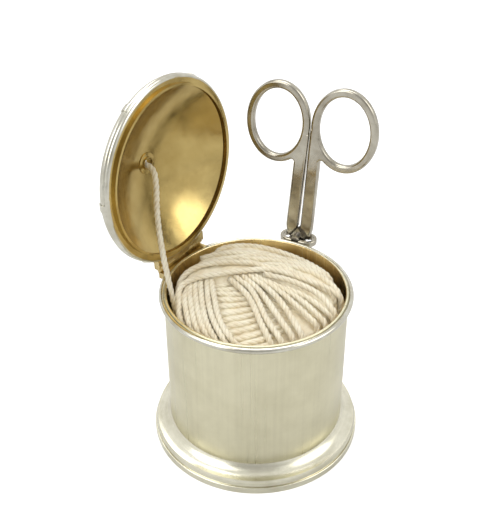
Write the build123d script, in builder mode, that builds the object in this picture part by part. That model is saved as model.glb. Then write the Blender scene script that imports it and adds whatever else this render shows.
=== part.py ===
from build123d import *
import math
import os

# A silver string box, in millimetres. The origin is the bottom centre of the foot, +Z is up.
# The lid's hinge is at the back, +Y. The scissors stand in a holder on the right, +X.
# The lid stands open, as it is used to show the ball of string.

os.makedirs("parts", exist_ok=True)

# Drum
drum_diameter = 84.0
rim_height = 80.0
wall = 1.2
wall_foot = 7.0
floor_height = 9.0
floor_thickness = 1.2
bead_diameter = 2.6
bead_drop = 1.4
bead_bite = 0.3
bead_end_gap = 0.2

# Foot moulding
foot_flare = 8.0
foot_height = 10.9
base_band_height = 3.2
base_flange = 3.4
base_sheet = 1.2
base_edge_round = 0.5
groove_depth = 0.7
groove_height = 0.6
groove_undercut = 0.2
side_band_height = 3.0
side_band_draw = 0.7
side_band_bow = 0.25
skirt_crown = 1.0
skirt_sheet = 1.9
skirt_inner_drop = 1.15

# Hinge
knuckle_diameter = 3.0
knuckle_length = 10.2
knuckle_gap = 0.25
knuckle_wing = 0.45
knuckle_clearance = 0.3
hinge_setback = 2.35
hinge_rise = 1.9
pin_diameter = 1.3
pin_clearance = 0.04
pin_end = 0.3
bearer_height = 3.2
lid_bearer_height = 3.0
lid_bearer_depth = 4.6
lid_bearer_lift = 0.1
lid_bearer_overhang = 1.1

# Lid
lid_open_angle = 93.2
lid_seat_gap = 0.3
lid_overhang = 1.3
lid_flange_width = 3.7
lid_flange_thickness = 1.6
flange_edge_round = 1.5
lid_step = 0.6
bezel_depth = 1.3
bezel_sheet = 1.1
lid_depth = 16.2
lid_sheet = 1.0
reed_radius = 1.25
reed_count = 3
reed_ring_radius = 1.6
reed_first_angle = 4.0
reed_fan = 100.0
border_inset = 2.75
border_rise = 2.9
tie_count = 6
lid_seam_turn = 30.0
tie_width = 3.4
tie_relief = 0.5
tie_clearance = 0.05

# String guide in the crown of the lid
string_diameter = 2.9
guide_bore = 5.4
guide_wall = 0.55
guide_flange = 10.0
guide_flange_thickness = 0.7
guide_inside = 1.4
guide_outside = 1.4
guide_sag = 0.9
guide_middle_rise = 0.8
run_bend_drop = 3.8
tail_rise = 6.4

# Ball of string
ball_wall_gap = 1.9
ball_seat_gap = 0.3
loop_count = 24
loop_gap = 0.5
first_polar_angle = 13.0
core_gap = 0.3
ball_axis_azimuth = 134.0
ball_axis_rise = 28.0
first_loop_turn = 200.0
landing_rise = 3.4
landing_shift = 1.0
inner_end_bend = 3.2
inner_end_room = 0.35

# Scissor holder
holder_azimuth = 9.5
holder_stand_off = 7.6
holder_turn = -1.0
holder_width = 18.8
holder_depth = 10.0
holder_sheet = 1.6
holder_height = 3.0
holder_edge_round = 0.6
pivot_over_holder = 0.4
seat_gap = 0.3
bracket_width = 8.0
bracket_height = 9.0
bracket_sheet = 1.3
bracket_reach = 4.0

# Scissors, in their own plane: x across, y up the axis, measured from the pivot.
# They lean sideways, and tip away from the drum so that the lid swings past the rings.
lean = 3.18
tip = 2.5
pivot_rise = 0.3
ring_inner_width = 24.6
ring_inner_height = 33.0
ring_wire = 3.8
ring_offset = 16.4
front_ring_rise = 56.9
back_ring_rise = 60.2
ring_tilt = 3.05
shank_width = 6.9
shank_waist = 6.3
shank_foot_width = 5.9
shank_thickness = 3.6
shank_edge_round = 1.2
shank_blend = 1.0
shank_end_drop = 2.0
slit_top = 0.18
slit_bottom = 0.65
crotch_rise = 5.2
shoulder_drop = 1.2
tang_foot = 4.1
lap_clearance = 0.3
lap_angle = 14.0
blade_length = 58.0
blade_thickness = 2.2
blade_play = 0.025
heel_drop = 3.6
edge_straight = 14.5
spine_straight = 17.5
spine_offset = 4.5
edge_offset = 3.6
tip_width = 0.8
screw_diameter = 2.6
screw_head_diameter = 3.6
screw_reach = 2.1
screw_clearance = 0.03
screw_slot = 0.6

# Sizes that follow from the ones above
drum_radius = drum_diameter / 2
inner_radius = drum_radius - wall
bead_radius = bead_diameter / 2
bead_centre = drum_radius + bead_radius - bead_bite
foot_radius = drum_radius + foot_flare
floor_top = floor_height + floor_thickness
knuckle_radius = knuckle_diameter / 2
hinge_half_length = 1.5 * knuckle_length + knuckle_gap
hinge_y = drum_radius + hinge_setback
hinge_z = rim_height + hinge_rise
string_radius = string_diameter / 2
ball_radius = inner_radius - ball_wall_gap
path_radius = ball_radius - string_radius
core_radius = ball_radius - string_diameter - core_gap
ball_centre = Vector(0, 0, floor_top + ball_seat_gap + ball_radius)


def section_plane(frame, turn=0):
    """The half plane through a frame's axis, turned about it: x is the radius, y is the height."""
    angle = math.radians(turn)
    radius_way = frame.x_dir * math.cos(angle) + frame.y_dir * math.sin(angle)
    back_way = frame.x_dir * math.sin(angle) - frame.y_dir * math.cos(angle)
    return Plane(origin=frame.origin, x_dir=radius_way, z_dir=back_way)


def save(part, name):
    """Label a finished piece and write it."""
    part.label = name
    export_step(part, f"parts/{name}.step")
    print(name, "solids", len(part.solids()), "volume", round(part.volume, 1))


drum_section = section_plane(Plane.XY)
hinge_plane = Plane(origin=(0, hinge_y, hinge_z), x_dir=(0, 1, 0), z_dir=(1, 0, 0))

# The lid's own frame: z is its axis, away from the drum when the lid is shut
open_angle = math.radians(lid_open_angle)
lid_y = Vector(0, math.cos(open_angle), -math.sin(open_angle))
lid_z = Vector(0, math.sin(open_angle), math.cos(open_angle))
lid_drop = hinge_rise - lid_seat_gap
lid_origin = Vector(0, hinge_y, hinge_z) - lid_y * hinge_y - lid_z * lid_drop
lid_frame = Plane(origin=lid_origin, x_dir=(1, 0, 0), z_dir=lid_z)
lid_section = section_plane(lid_frame, lid_seam_turn)
lid_axis = Axis(lid_origin, lid_z)
lid_radius = drum_radius + lid_overhang
lid_hinge_plane = Plane(origin=(0, hinge_y, hinge_z), x_dir=lid_y, z_dir=(1, 0, 0))

# The drum's side
with BuildPart() as drum_wall:
    with BuildSketch(Plane.XY.offset(wall_foot)):
        Circle(drum_radius)
        Circle(inner_radius, mode=Mode.SUBTRACT)
    extrude(amount=rim_height - wall_foot)
    rim_edges = drum_wall.edges().group_by(Axis.Z)[-1]
    fillet(rim_edges, wall * 0.25)
save(drum_wall.part, "drum_wall")

with BuildPart() as drum_floor:
    with BuildSketch(Plane.XY.offset(floor_height)):
        Circle(inner_radius)
    extrude(amount=floor_thickness)
save(drum_floor.part, "drum_floor")

# The foot is spun from sheet: a plain band, a groove, a side band and a crowned skirt
groove_radius = foot_radius - groove_depth
groove_top = base_band_height + groove_height
side_top = groove_top + side_band_height
side_top_radius = groove_radius - side_band_draw
skirt_low = Vector(side_top_radius, side_top)
skirt_high = Vector(drum_radius, foot_height)
skirt_inner_high = Vector(drum_radius, foot_height - skirt_sheet)
skirt_inner_low = Vector(side_top_radius - skirt_sheet, side_top - skirt_inner_drop)
band_inner = foot_radius - base_sheet - groove_depth
side_middle = Vector((groove_radius + side_top_radius) / 2 + side_band_bow, (groove_top + side_top) / 2)
base_shoulder = base_band_height - base_edge_round
with BuildPart() as foot_ring:
    with BuildSketch(drum_section):
        with BuildLine():
            Polyline((foot_radius - base_flange, 0), (foot_radius, 0), (foot_radius, base_shoulder))
            TangentArc(
                (foot_radius, base_shoulder),
                (foot_radius - base_edge_round, base_band_height),
                tangent=(0, 1),
            )
            Polyline(
                (foot_radius - base_edge_round, base_band_height),
                (groove_radius - groove_undercut, base_band_height),
                (groove_radius - groove_undercut, groove_top),
                (groove_radius, groove_top),
            )
            ThreePointArc((groove_radius, groove_top), side_middle, skirt_low)
            SagittaArc(skirt_low, skirt_high, skirt_crown)
            Line(skirt_high, skirt_inner_high)
            SagittaArc(skirt_inner_high, skirt_inner_low, -skirt_crown)
            Polyline(
                skirt_inner_low,
                (band_inner, base_band_height),
                (band_inner, base_sheet),
                (foot_radius - base_flange, base_sheet),
                (foot_radius - base_flange, 0),
            )
        make_face()
    revolve(axis=Axis.Z)
save(foot_ring.part, "foot_ring")

# The rim's wire is cut away where the hinge stands
with BuildPart() as rim_bead:
    with BuildSketch(drum_section):
        with Locations((bead_centre, rim_height - bead_drop)):
            Circle(bead_radius)
        with Locations((drum_radius / 2, rim_height - bead_drop)):
            Rectangle(drum_radius, bead_diameter * 2, mode=Mode.SUBTRACT)
    revolve(axis=Axis.Z)
    with BuildSketch(Plane.XY.offset(rim_height - bead_drop - bead_diameter)):
        with Locations((0, drum_radius)):
            Rectangle(2 * (hinge_half_length + bead_end_gap), drum_radius)
    extrude(amount=2 * bead_diameter, mode=Mode.SUBTRACT)
save(rim_bead.part, "rim_bead")

# Hinge, drum side: a bearer strip on the wall with a knuckle at each end
outer_knuckle_places = [-knuckle_length - knuckle_gap, knuckle_length + knuckle_gap]
bearer_base = rim_height - bearer_height
with BuildPart() as drum_bearer:
    with BuildSketch(Plane.XY.offset(bearer_base)):
        with Locations((0, drum_radius)):
            Rectangle(2 * hinge_half_length, 2 * hinge_setback)
        Circle(drum_radius, mode=Mode.SUBTRACT)
    extrude(amount=bearer_height)
    for place in outer_knuckle_places:
        with BuildSketch(Plane.YZ.offset(place)):
            with BuildLine():
                Polyline(
                    (hinge_y - knuckle_wing, rim_height),
                    (hinge_y - knuckle_wing, hinge_z),
                    (hinge_y + knuckle_wing, hinge_z),
                    (hinge_y + knuckle_wing, rim_height),
                    (hinge_y, rim_height - knuckle_radius),
                    (hinge_y - knuckle_wing, rim_height),
                )
            make_face()
        extrude(amount=knuckle_length / 2, both=True)
    with BuildSketch(hinge_plane.offset(-hinge_half_length)):
        Circle(knuckle_radius)
    extrude(amount=2 * hinge_half_length, mode=Mode.SUBTRACT)
    with BuildSketch(hinge_plane.offset(-knuckle_length / 2 - knuckle_gap)):
        Circle(knuckle_radius + knuckle_clearance)
    extrude(amount=knuckle_length + 2 * knuckle_gap, mode=Mode.SUBTRACT)
save(drum_bearer.part, "drum_bearer")

with BuildPart() as drum_knuckles:
    for place in outer_knuckle_places:
        with BuildSketch(hinge_plane.offset(place)):
            Circle(knuckle_radius)
            Circle(pin_diameter / 2, mode=Mode.SUBTRACT)
        extrude(amount=knuckle_length / 2, both=True)
save(drum_knuckles.part, "drum_knuckles")

with BuildPart() as hinge_pin:
    with BuildSketch(hinge_plane.offset(-hinge_half_length)):
        Circle(pin_diameter / 2)
    extrude(amount=2 * hinge_half_length)
    for side in (-1, 1):
        with BuildSketch(hinge_plane.offset(side * hinge_half_length)):
            Circle(pin_diameter / 2 + pin_end)
        extrude(amount=side * pin_end)
save(hinge_pin.part, "hinge_pin")

# Hinge, lid side: one knuckle in the middle, and a bearer strip cut clear of the drum's knuckles
with BuildPart() as lid_knuckle:
    with BuildSketch(hinge_plane):
        Circle(knuckle_radius)
        Circle(pin_diameter / 2 + pin_clearance, mode=Mode.SUBTRACT)
    extrude(amount=knuckle_length / 2, both=True)
save(lid_knuckle.part, "lid_knuckle")

# The lid is a domed crown on a flat flange, both raised from sheet
flange_inner = lid_radius - lid_flange_width
dome_rise = lid_depth - lid_step
dome_inner_sphere = (flange_inner**2 + dome_rise**2) / (2 * dome_rise)
dome_outer_sphere = dome_inner_sphere + lid_sheet


def dome_inside(radius):
    """Height of the crown's inner face over the lid's seat."""
    return lid_depth - dome_inner_sphere + math.sqrt(dome_inner_sphere**2 - radius**2)


def dome_outside(radius):
    """Height of the crown's outer face over the lid's seat."""
    return lid_depth - dome_inner_sphere + math.sqrt(dome_outer_sphere**2 - radius**2)


def crown_arc(height, start, end):
    """An arc on one face of the crown, from one radius to another."""
    middle = (start + end) / 2
    ThreePointArc((start, height(start)), (middle, height(middle)), (end, height(end)))


guide_outer_radius = guide_bore / 2 + guide_wall
crown_edge = flange_inner + lid_sheet
with BuildPart() as lid_crown:
    with BuildSketch(lid_section):
        with BuildLine():
            crown_arc(dome_outside, guide_outer_radius, crown_edge)
            Polyline(
                (crown_edge, dome_outside(crown_edge)),
                (crown_edge, 0),
                (flange_inner, 0),
                (flange_inner, lid_step),
            )
            crown_arc(dome_inside, flange_inner, guide_outer_radius)
            Line(
                (guide_outer_radius, dome_inside(guide_outer_radius)),
                (guide_outer_radius, dome_outside(guide_outer_radius)),
            )
        make_face()
    revolve(axis=lid_axis)
save(lid_crown.part, "lid_crown")

relief_half_length = hinge_half_length + pin_end + knuckle_clearance

# The room for the drum's two knuckles, taken out of every lid piece that comes near them
with BuildPart() as hinge_relief:
    with BuildSketch(hinge_plane.offset(-relief_half_length)):
        Circle(knuckle_radius + knuckle_clearance)
    extrude(amount=2 * relief_half_length)

with BuildPart() as lid_flange:
    with BuildSketch(lid_section):
        with BuildLine():
            Line((crown_edge, 0), (lid_radius - flange_edge_round, 0))
            TangentArc(
                (lid_radius - flange_edge_round, 0),
                (lid_radius, flange_edge_round),
                tangent=(1, 0),
            )
            Polyline(
                (lid_radius, flange_edge_round),
                (lid_radius, lid_flange_thickness),
                (crown_edge, lid_flange_thickness),
                (crown_edge, 0),
            )
        make_face()
    revolve(axis=lid_axis)
    add(hinge_relief.part, mode=Mode.SUBTRACT)
save(lid_flange.part, "lid_flange")

# A bezel stands inside the crown's wall and drops into the drum's mouth when the lid is shut
with BuildPart() as lid_bezel:
    with BuildSketch(lid_frame.offset(-bezel_depth)):
        Circle(flange_inner)
        Circle(flange_inner - bezel_sheet, mode=Mode.SUBTRACT)
    extrude(amount=bezel_depth + lid_step)
save(lid_bezel.part, "lid_bezel")

# A reeded border on the crown's shoulder, and six ribbon ties that cross it
border_centre = Vector(lid_radius - border_inset, border_rise)
reed_angles = [
    math.radians(reed_first_angle + reed_fan * index / (reed_count - 1)) for index in range(reed_count)
]
reed_centres = [
    border_centre + Vector(math.cos(angle), math.sin(angle)) * reed_ring_radius for angle in reed_angles
]


def border_outline(growth, mode):
    """The border's outline: three reeds on a round back."""
    with Locations(border_centre):
        Circle(reed_ring_radius + growth, mode=mode)
    for centre in reed_centres:
        with Locations(centre):
            Circle(reed_radius + growth, mode=mode)


def cut_lid_sheet(clearance):
    """Take the lid's flange and crown out of the outline, so that it sits on them."""
    outside = crown_edge + clearance
    seat = lid_flange_thickness + clearance
    with Locations((lid_radius / 2, seat - lid_radius / 2)):
        Rectangle(2 * lid_radius, lid_radius, mode=Mode.SUBTRACT)
    with BuildLine(mode=Mode.PRIVATE) as crown_line:
        middle = outside / 2
        ThreePointArc(
            (0, dome_outside(0) + clearance),
            (middle, dome_outside(middle) + clearance),
            (outside, dome_outside(outside) + clearance),
        )
        Polyline(
            (outside, dome_outside(outside) + clearance),
            (outside, 0),
            (0, 0),
            (0, dome_outside(0) + clearance),
        )
    add(make_face(crown_line.edges(), mode=Mode.PRIVATE), mode=Mode.SUBTRACT)


with BuildPart() as lid_border:
    with BuildSketch(lid_section):
        border_outline(0, Mode.ADD)
        cut_lid_sheet(0)
    revolve(axis=lid_axis)
    add(hinge_relief.part, mode=Mode.SUBTRACT)
save(lid_border.part, "lid_border")

tie_angle = math.degrees(tie_width / (lid_radius - border_inset))
with BuildPart() as border_ties:
    for index in range(tie_count):
        turn = 360 / tie_count * index - tie_angle / 2
        with BuildSketch(section_plane(lid_frame, turn)):
            border_outline(tie_relief, Mode.ADD)
            border_outline(tie_clearance, Mode.SUBTRACT)
            cut_lid_sheet(tie_clearance)
        revolve(axis=lid_axis, revolution_arc=tie_angle)
save(border_ties.part, "border_ties")

# The lid's bearer fills in between the lid's round edge and its knuckle
with BuildPart() as lid_bearer:
    with BuildSketch(lid_hinge_plane.offset(-hinge_half_length - lid_bearer_overhang)):
        with Locations((-lid_bearer_depth / 2, lid_bearer_height / 2 - lid_drop + lid_bearer_lift)):
            Rectangle(lid_bearer_depth, lid_bearer_height)
    extrude(amount=2 * (hinge_half_length + lid_bearer_overhang))
    add(lid_flange.part, mode=Mode.SUBTRACT)
    add(lid_border.part, mode=Mode.SUBTRACT)
    add(lid_crown.part, mode=Mode.SUBTRACT)
    for side in (-1, 1):
        with BuildSketch(hinge_plane.offset(side * (knuckle_length / 2))):
            Circle(knuckle_radius + knuckle_clearance)
        extrude(amount=side * (relief_half_length - knuckle_length / 2), mode=Mode.SUBTRACT)
    with BuildSketch(hinge_plane):
        Circle(knuckle_radius)
    extrude(amount=knuckle_length, both=True, mode=Mode.SUBTRACT)
save(lid_bearer.part, "lid_bearer")

# The string's guide is a flanged bush through the crown
mouth_height = lid_depth - guide_inside
top_height = lid_depth + lid_sheet + guide_outside
flange_reach = guide_flange / 2
with BuildPart() as string_guide:
    with BuildSketch(lid_section):
        with BuildLine():
            Polyline(
                (guide_outer_radius, mouth_height),
                (guide_bore / 2, mouth_height),
                (guide_bore / 2, top_height),
                (guide_outer_radius, top_height),
                (guide_outer_radius, dome_outside(guide_outer_radius) + guide_flange_thickness),
                (flange_reach, dome_outside(flange_reach) + guide_flange_thickness / 2),
                (flange_reach, dome_outside(flange_reach)),
            )
            crown_arc(dome_outside, flange_reach, guide_outer_radius)
            Line(
                (guide_outer_radius, dome_outside(guide_outer_radius)),
                (guide_outer_radius, dome_inside(guide_outer_radius)),
            )
            crown_arc(dome_inside, guide_outer_radius, flange_reach)
            Polyline(
                (flange_reach, dome_inside(flange_reach)),
                (flange_reach, dome_inside(flange_reach) - guide_flange_thickness / 2),
                (guide_outer_radius, dome_inside(guide_outer_radius) - guide_flange_thickness),
                (guide_outer_radius, mouth_height),
            )
        make_face()
    revolve(axis=lid_axis)
save(string_guide.part, "string_guide")


def unit(vector):
    """The same direction, one long."""
    return vector / vector.length


def joined_by_two_arcs(start, start_way, end, end_way):
    """Draw two arcs that run smoothly from one point and direction to the next."""
    chord = end - start
    ways = start_way + end_way
    straight = 2 * (1 - start_way.dot(end_way))
    root = math.sqrt(chord.dot(ways) ** 2 + straight * chord.dot(chord))
    reach = (root - chord.dot(ways)) / straight
    middle = (start + end + (start_way - end_way) * reach) / 2
    middle_way = unit((end - end_way * reach) - (start + start_way * reach))
    TangentArc(start, middle, tangent=start_way)
    TangentArc(middle, end, tangent=middle_way)


# The ball: one unbroken length of string wound over a plain core, its axis leaning in the drum
pole_turn = math.radians(ball_axis_azimuth)
pole_rise = math.radians(ball_axis_rise)
pole_way = Vector(
    math.cos(pole_rise) * math.cos(pole_turn),
    math.cos(pole_rise) * math.sin(pole_turn),
    math.sin(pole_rise),
)
level_way = unit(Vector(0, 0, 1).cross(pole_way))
steep_way = pole_way.cross(level_way)
first_turn = math.radians(first_loop_turn)
loop_x = level_way * math.cos(first_turn) + steep_way * math.sin(first_turn)
loop_y = loop_x.cross(pole_way)
polar_step = (string_diameter + loop_gap) / path_radius


def on_ball(turns):
    """A point of the string's centre line, and the string's direction there."""
    polar = math.radians(first_polar_angle) + polar_step * turns
    swing = 2 * math.pi * turns
    outward = loop_x * math.cos(swing) + loop_y * math.sin(swing)
    onward = loop_y * math.cos(swing) - loop_x * math.sin(swing)
    place = ball_centre + (pole_way * math.cos(polar) + outward * math.sin(polar)) * path_radius
    drift = (outward * math.cos(polar) - pole_way * math.sin(polar)) * polar_step / (2 * math.pi)
    return place, unit(onward * math.sin(polar) + drift)


# The string comes down past the rim, lands by the ball's pole and turns into the first loop
last_corner = Vector(-22.2, 32.6, 82.2)
over_pole = ball_centre + pole_way * (path_radius + landing_rise)
fall_way = unit(over_pole - last_corner)
landing = over_pole + unit(fall_way - pole_way * fall_way.dot(pole_way)) * landing_shift
landing_way = unit(landing - last_corner)
ball_start, start_way = on_ball(0)
ball_end, end_way = on_ball(loop_count)
inward = unit(ball_centre - ball_end)
inward = unit(inward - end_way * inward.dot(end_way))
string_start = landing - landing_way * string_diameter
bend_end = ball_end + (end_way + inward) * inner_end_bend
string_inner_end = bend_end + inward * string_diameter
with BuildPart() as string_winding:
    with BuildLine() as winding_path:
        Line(string_start, landing)
        joined_by_two_arcs(landing, landing_way, ball_start, start_way)
        for half_turn in range(2 * loop_count):
            here, here_way = on_ball(half_turn / 2)
            there, there_way = on_ball((half_turn + 1) / 2)
            joined_by_two_arcs(here, here_way, there, there_way)
        TangentArc(ball_end, bend_end, tangent=end_way)
        Line(bend_end, string_inner_end)
    with BuildSketch(Plane(origin=string_start, z_dir=landing_way)):
        Circle(string_radius)
    sweep()
save(string_winding.part, "string_winding")

winding_wire = winding_path.wires()[0]
sample_step = string_diameter / 2
sample_count = int(winding_wire.length / sample_step)
samples = [winding_wire @ (index / sample_count) for index in range(sample_count + 1)]
neighbour_skip = 8
least = min(
    (samples[i] - samples[j]).length
    for i in range(sample_count + 1)
    for j in range(i + neighbour_skip, sample_count + 1)
)
print("string on the ball", round(winding_wire.length, 1))
print("least gap to itself", round(least - string_diameter, 3))
section_area = math.pi * string_radius**2
winding_ratio = string_winding.part.volume / section_area / winding_wire.length
print("volume over section times length", round(winding_ratio, 4))

# The core has a flat-bottomed hole that takes the string's inner end
with BuildPart() as ball_core:
    with Locations(ball_centre):
        Sphere(core_radius)
    hole_centre = string_inner_end - end_way * (inner_end_bend / 2)
    with BuildSketch(Plane(origin=hole_centre, x_dir=end_way, z_dir=inward * -1)):
        hole_width = string_diameter + 2 * inner_end_room
        SlotOverall(inner_end_bend + hole_width, hole_width)
    extrude(amount=core_radius, mode=Mode.SUBTRACT)
save(ball_core.part, "ball_core")


def cord_radii(points):
    """A bend for each inner point, as wide as the shorter of its two runs allows."""
    radii = []
    for before, here, after in zip(points, points[1:], points[2:]):
        arriving = here - before
        leaving = after - here
        half_turn = math.radians(arriving.get_angle(leaving)) / 2
        radii.append(0.45 * min(arriving.length, leaving.length) / math.tan(half_turn))
    return radii


def in_guide(rise):
    """A point of the string in the guide, where it lies on the bore, measured outwards from the crown."""
    return lid_origin + lid_z * (lid_depth + rise) + lid_y * guide_sag


# The string rises from the drum's wall to the guide in the open lid
guide_middle = in_guide(guide_middle_rise)
run_points = [
    guide_middle,
    in_guide(-run_bend_drop),
    Vector(-4.7, 51.8, 119.7),
    Vector(-11.9, 46.6, 108.6),
    Vector(-17.5, 39.8, 94.6),
    last_corner,
    string_start,
]
run_radii = cord_radii(run_points)
print("string run bends", [round(radius, 1) for radius in run_radii])
print("string run corners", [[round(value, 2) for value in point] for point in run_points])
with BuildPart() as string_run:
    with BuildLine() as run_path:
        FilletPolyline(*run_points, radius=run_radii)
    with BuildSketch(Plane(origin=guide_middle, z_dir=run_points[1] - guide_middle)):
        Circle(string_radius)
    sweep()
save(string_run.part, "string_run")
run_length = run_path.wires()[0].length
run_ratio = string_run.part.volume / section_area / run_length
print("string run", round(run_length, 1), "volume ratio", round(run_ratio, 4))

# Its free end comes out of the guide and hangs behind the lid
tail_points = [
    guide_middle,
    in_guide(tail_rise),
    in_guide(tail_rise) + Vector(1.1, 1.2, -10.9),
    in_guide(tail_rise) + Vector(0.1, 0.3, -20.6),
    in_guide(tail_rise) + Vector(1.0, 1.1, -29.2),
]
tail_radii = cord_radii(tail_points)
print("string tail bends", [round(radius, 1) for radius in tail_radii])
print("string tail corners", [[round(value, 2) for value in point] for point in tail_points])
with BuildPart() as string_tail:
    with BuildLine() as tail_path:
        FilletPolyline(*tail_points, radius=tail_radii)
    with BuildSketch(Plane(origin=guide_middle, z_dir=lid_z)):
        Circle(string_radius)
    sweep()
save(string_tail.part, "string_tail")
tail_length = tail_path.wires()[0].length
tail_ratio = string_tail.part.volume / section_area / tail_length
print("string tail", round(tail_length, 1), "volume ratio", round(tail_ratio, 4))

# The scissors' pivot, and the directions across, outward and up the leaning axis
pivot_azimuth = math.radians(holder_azimuth)
outward_azimuth = math.radians(holder_azimuth + holder_turn)
lean_angle = math.radians(lean)
tip_angle = math.radians(tip)
pivot_radius = drum_radius + holder_stand_off
pivot = Vector(
    pivot_radius * math.cos(pivot_azimuth), pivot_radius * math.sin(pivot_azimuth), rim_height + pivot_rise
)
outward_way = Vector(math.cos(outward_azimuth), math.sin(outward_azimuth), 0)
across_way = Vector(math.sin(outward_azimuth), -math.cos(outward_azimuth), 0)
rise_way = Vector(0, 0, 1) * math.cos(tip_angle) + outward_way * math.sin(tip_angle)
facing_way = outward_way * math.cos(tip_angle) - Vector(0, 0, 1) * math.sin(tip_angle)
across_lean = across_way * math.cos(lean_angle) - rise_way * math.sin(lean_angle)
scissors_plane = Plane(origin=pivot, x_dir=across_lean, z_dir=facing_way * -1)
lift_way = scissors_plane.y_dir
print("pivot", [round(value, 3) for value in pivot])
print("facing", [round(value, 5) for value in facing_way])
print("lift", [round(value, 5) for value in lift_way])

# The holder is a flat oval loop of strip, notched front and back for the pivot screw's ends
holder_top = pivot - Vector(0, 0, pivot_over_holder)
holder_plane = Plane(origin=holder_top, x_dir=across_way, z_dir=(0, 0, 1))
pivot_section = Plane(origin=pivot, x_dir=across_way, z_dir=facing_way)
with BuildPart() as scissor_loop:
    with BuildSketch(holder_plane):
        SlotOverall(holder_width, holder_depth)
    extrude(amount=-holder_height)
    fillet(scissor_loop.edges().filter_by(GeomType.LINE).filter_by(Axis.Z, reverse=True), holder_edge_round)
    with BuildSketch(holder_plane):
        SlotOverall(holder_width - 2 * holder_sheet, holder_depth - 2 * holder_sheet)
    extrude(amount=-holder_height, mode=Mode.SUBTRACT)
    with BuildSketch(pivot_section):
        Circle(screw_head_diameter / 2 + seat_gap)
    extrude(amount=holder_depth, both=True, mode=Mode.SUBTRACT)
save(scissor_loop.part, "scissor_loop")

# A bracket under the loop, soldered to the drum's side
bracket_plane = Plane(origin=holder_top, x_dir=outward_way * -1, z_dir=across_way * -1)
strip_outer = holder_depth / 2
to_drum = holder_stand_off + wall
with BuildPart() as scissor_bracket:
    with BuildSketch(bracket_plane):
        with BuildLine():
            Polyline(
                (strip_outer - holder_sheet, -holder_height),
                (to_drum, -holder_height),
                (to_drum, -holder_height - bracket_height),
                (strip_outer + bracket_sheet / 2, -holder_height - bracket_height),
                (strip_outer + bracket_sheet / 2, -holder_height - bracket_reach),
                (strip_outer - holder_sheet, -holder_height - bracket_sheet),
                (strip_outer - holder_sheet, -holder_height),
            )
        make_face()
    extrude(amount=bracket_width / 2, both=True)
    with BuildSketch(Plane.XY.offset(wall_foot)):
        Circle(drum_radius)
    extrude(amount=rim_height, mode=Mode.SUBTRACT)
save(scissor_bracket.part, "scissor_bracket")

# The two handles: silver rings and shanks, half lapped at the pivot. The front one is on the left.
lap_radius = crotch_rise + lap_clearance
lap_way = math.radians(lap_angle)
far = blade_length
for side, ring_rise, name in ((-1, front_ring_rise, "handle_front"), (1, back_ring_rise, "handle_back")):
    slit_foot_rise = crotch_rise - slit_bottom * (crotch_rise + shoulder_drop) / tang_foot
    blend_place = Vector(side * shank_waist, ring_rise - ring_inner_height / 2)
    with BuildPart() as handle:
        with BuildSketch(scissors_plane) as handle_outline:
            with Locations(Location((side * ring_offset, ring_rise, 0), (0, 0, side * ring_tilt))):
                Ellipse(ring_inner_width / 2 + ring_wire, ring_inner_height / 2 + ring_wire)
            with BuildLine():
                Polyline(
                    (side * slit_bottom, slit_foot_rise),
                    (side * slit_top, ring_rise - shank_end_drop),
                    (side * ring_wire, ring_rise - shank_end_drop),
                    (side * shank_waist, ring_rise - shank_end_drop - ring_wire),
                    (side * shank_width, crotch_rise),
                    (side * shank_foot_width, -shoulder_drop),
                    (side * tang_foot, -shoulder_drop),
                    (side * slit_bottom, slit_foot_rise),
                )
            make_face()
            with Locations(Location((side * ring_offset, ring_rise, 0), (0, 0, side * ring_tilt))):
                Ellipse(ring_inner_width / 2, ring_inner_height / 2, mode=Mode.SUBTRACT)
            fillet(handle_outline.vertices().sort_by_distance(blend_place)[0], shank_blend)
        extrude(amount=shank_thickness / 2, both=True)
        flat_faces = handle.faces().filter_by(Axis(pivot, facing_way))
        fillet(flat_faces.edges(), shank_edge_round)
        with BuildSketch(scissors_plane.offset(-side * blade_play)):
            Circle(lap_radius)
            with BuildLine():
                Polyline(
                    (0, 0),
                    (side * far * math.cos(lap_way), far * math.sin(lap_way)),
                    (side * far, -far),
                    (0, -far),
                    (0, 0),
                )
            make_face()
        extrude(amount=side * shank_thickness, mode=Mode.SUBTRACT)
    save(handle.part, name)

# The two blades, of steel. Each has its spine on the side away from its own handle.
for side, name in ((-1, "blade_front"), (1, "blade_back")):
    hole = screw_diameter / 2 + (screw_clearance if side == 1 else 0)
    with BuildPart() as blade:
        with BuildSketch(scissors_plane.offset(-side * blade_play)):
            with BuildLine():
                Polyline(
                    (0, crotch_rise),
                    (side * tang_foot, -shoulder_drop),
                    (side * edge_offset, -heel_drop),
                    (side * edge_offset, -edge_straight),
                    (side * tip_width / 2, -blade_length),
                    (-side * tip_width / 2, -blade_length),
                    (-side * spine_offset, -spine_straight),
                    (-side * spine_offset, -heel_drop),
                    (-side * tang_foot, -shoulder_drop),
                    (0, crotch_rise),
                )
            make_face()
            Circle(hole, mode=Mode.SUBTRACT)
        extrude(amount=-side * blade_thickness)
    save(blade.part, name)

# A shouldered screw through both blades, its slotted head to the front
head_start = blade_thickness + 2 * blade_play
with BuildPart() as pivot_screw:
    with BuildSketch(scissors_plane):
        Circle(screw_diameter / 2)
    extrude(amount=head_start, both=True)
    for side in (-1, 1):
        with BuildSketch(scissors_plane.offset(side * head_start)):
            Circle(screw_head_diameter / 2)
        extrude(amount=side * screw_reach)
    with BuildSketch(scissors_plane.offset(head_start + screw_reach)):
        Rectangle(screw_head_diameter * 1.2, screw_slot)
    extrude(amount=-screw_slot, mode=Mode.SUBTRACT)
save(pivot_screw.part, "pivot_screw")
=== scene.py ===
"""The looks of a silver string box: its finishes, its ball of string and the studio it stands in.

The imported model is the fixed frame. The metal pieces keep their own shapes and get their finishes
here. The ball of string, the string that runs up to the lid and its free end are modelled here.
"""

import logging
import math
import random
from collections.abc import Callable
from dataclasses import dataclass, field
from enum import Enum

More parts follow.
